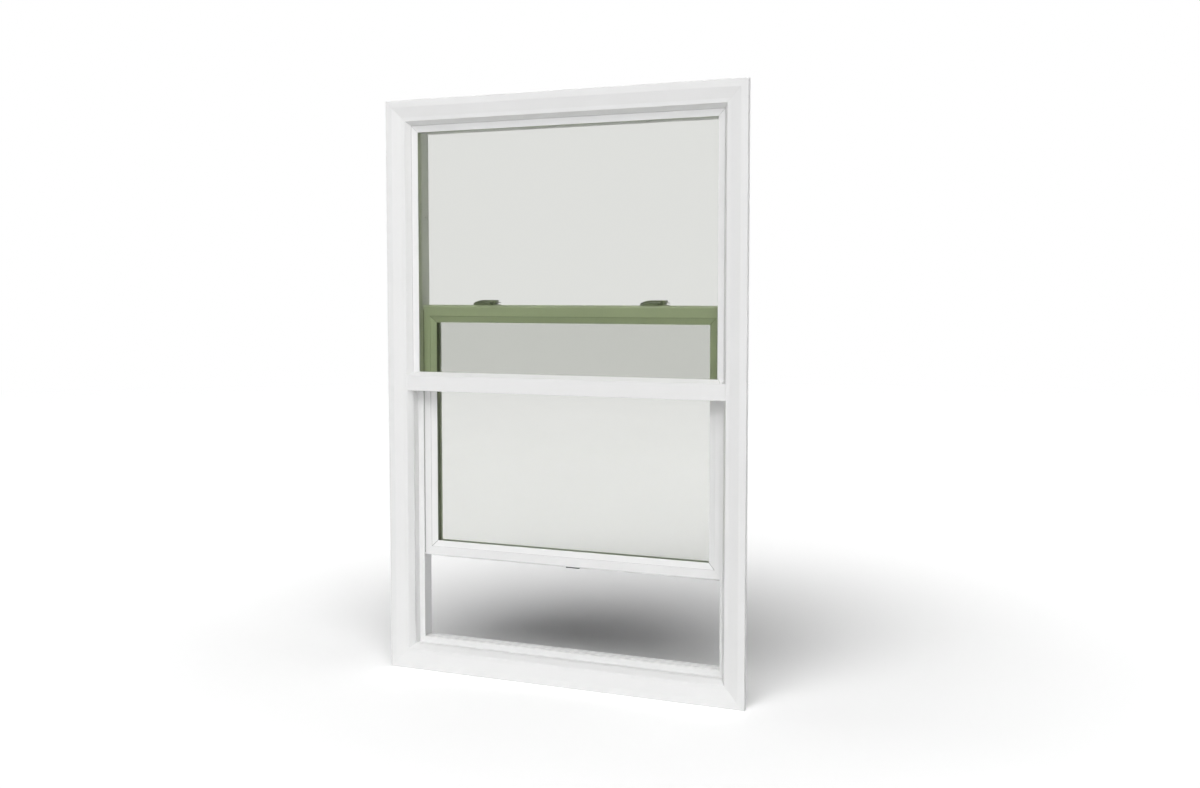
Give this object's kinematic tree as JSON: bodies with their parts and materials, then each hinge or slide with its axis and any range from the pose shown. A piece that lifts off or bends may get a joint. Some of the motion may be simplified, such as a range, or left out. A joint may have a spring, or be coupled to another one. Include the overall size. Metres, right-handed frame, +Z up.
{
  "type": "sash window",
  "caption": "White vinyl single-hung sash window with a flanged frame, a fixed upper light, and a lower sash that slides up behind the meeting rail and locks to it.",
  "frame": {"origin": "middle of the flange's lower edge, on its back face, which lies on the wall's outside face", "axes": "+X to the right seen from outside, +Y through the wall into the house, +Z up"},
  "size_m": [1, 0.1035, 1.5],
  "materials": {
    "vinyl": "smooth satin",
    "glass": "clear",
    "spacer": "matte",
    "setting_block": "matte",
    "pile": "woven pile",
    "bulb_seal": "soft matte",
    "nylon": "moulded",
    "balance_steel": "galvanised",
    "screw_steel": "zinc plated",
    "hardware": "satin paint"
  },
  "bodies": {
    "frame": {"balance_plug_left": "nylon", "balance_plug_right": "nylon", "balance_screws": "screw_steel", "balance_spring_left": "balance_steel", "balance_spring_right": "balance_steel", "balance_tube_left": "balance_steel", "balance_tube_right": "balance_steel", "frame_head": "vinyl", "frame_jamb_left": "vinyl", "frame_jamb_right": "vinyl", "frame_sill": "vinyl", "head_cover": "vinyl", "keeper_left": "hardware", "keeper_right": "hardware", "keeper_screws": "screw_steel", "meeting_rail": "vinyl", "meeting_rail_pile": "pile", "sill_riser": "vinyl", "upper_bead_bottom": "vinyl", "upper_bead_left": "vinyl", "upper_bead_right": "vinyl", "upper_bead_top": "vinyl", "upper_pane_inner": "glass", "upper_pane_outer": "glass", "upper_setting_blocks": "setting_block", "upper_spacer": "spacer"},
    "sash": {"balance_rod_left": "balance_steel", "balance_rod_right": "balance_steel", "balance_shoe_left": "nylon", "balance_shoe_right": "nylon", "lift_screws": "screw_steel", "lock_base_left": "hardware", "lock_base_right": "hardware", "lock_screws": "screw_steel", "sash_bead_bottom": "vinyl", "sash_bead_left": "vinyl", "sash_bead_right": "vinyl", "sash_bead_top": "vinyl", "sash_bottom_rail": "vinyl", "sash_bulb_seal": "bulb_seal", "sash_guide_left": "nylon", "sash_guide_right": "nylon", "sash_lift": "hardware", "sash_pane_inner": "glass", "sash_pane_outer": "glass", "sash_pile_left": "pile", "sash_pile_right": "pile", "sash_setting_blocks": "setting_block", "sash_spacer": "spacer", "sash_stile_left": "vinyl", "sash_stile_right": "vinyl", "sash_top_rail": "vinyl"},
    "lock_left": {"lock_lever_left": "hardware", "lock_cam_left": "hardware"},
    "lock_right": {"lock_lever_right": "hardware", "lock_cam_right": "hardware"},
    "nut_left": {"balance_nut_left": "nylon"},
    "nut_right": {"balance_nut_right": "nylon"}
  },
  "joints": [
    {"name": "sash_slide", "type": "slide", "parent": "frame", "child": "sash", "axis": [0, 0, 1], "range_m": [-0.217, 0.389]},
    {"name": "lock_left_turn", "type": "hinge", "parent": "sash", "child": "lock_left", "pos_m": [-0.213, 0.0515, 0.969], "axis": [0, 0, -1], "range_deg": [0, 180]},
    {"name": "lock_right_turn", "type": "hinge", "parent": "sash", "child": "lock_right", "pos_m": [0.261, 0.0515, 0.969], "axis": [0, 0, -1], "range_deg": [0, 180]},
    {"name": "nut_left_turn", "type": "hinge", "parent": "frame", "child": "nut_left", "pos_m": [-0.4412, 0.0425, 0.7155], "axis": [0, 0, 1], "continuous": true},
    {"name": "nut_right_turn", "type": "hinge", "parent": "frame", "child": "nut_right", "pos_m": [0.4412, 0.0425, 0.7155], "axis": [0, 0, 1], "continuous": true}
  ],
  "couplings": [
    {"joint": "nut_left_turn", "follows": "sash_slide", "rad_per_m": -125.66},
    {"joint": "nut_right_turn", "follows": "sash_slide", "rad_per_m": -125.66}
  ]
}
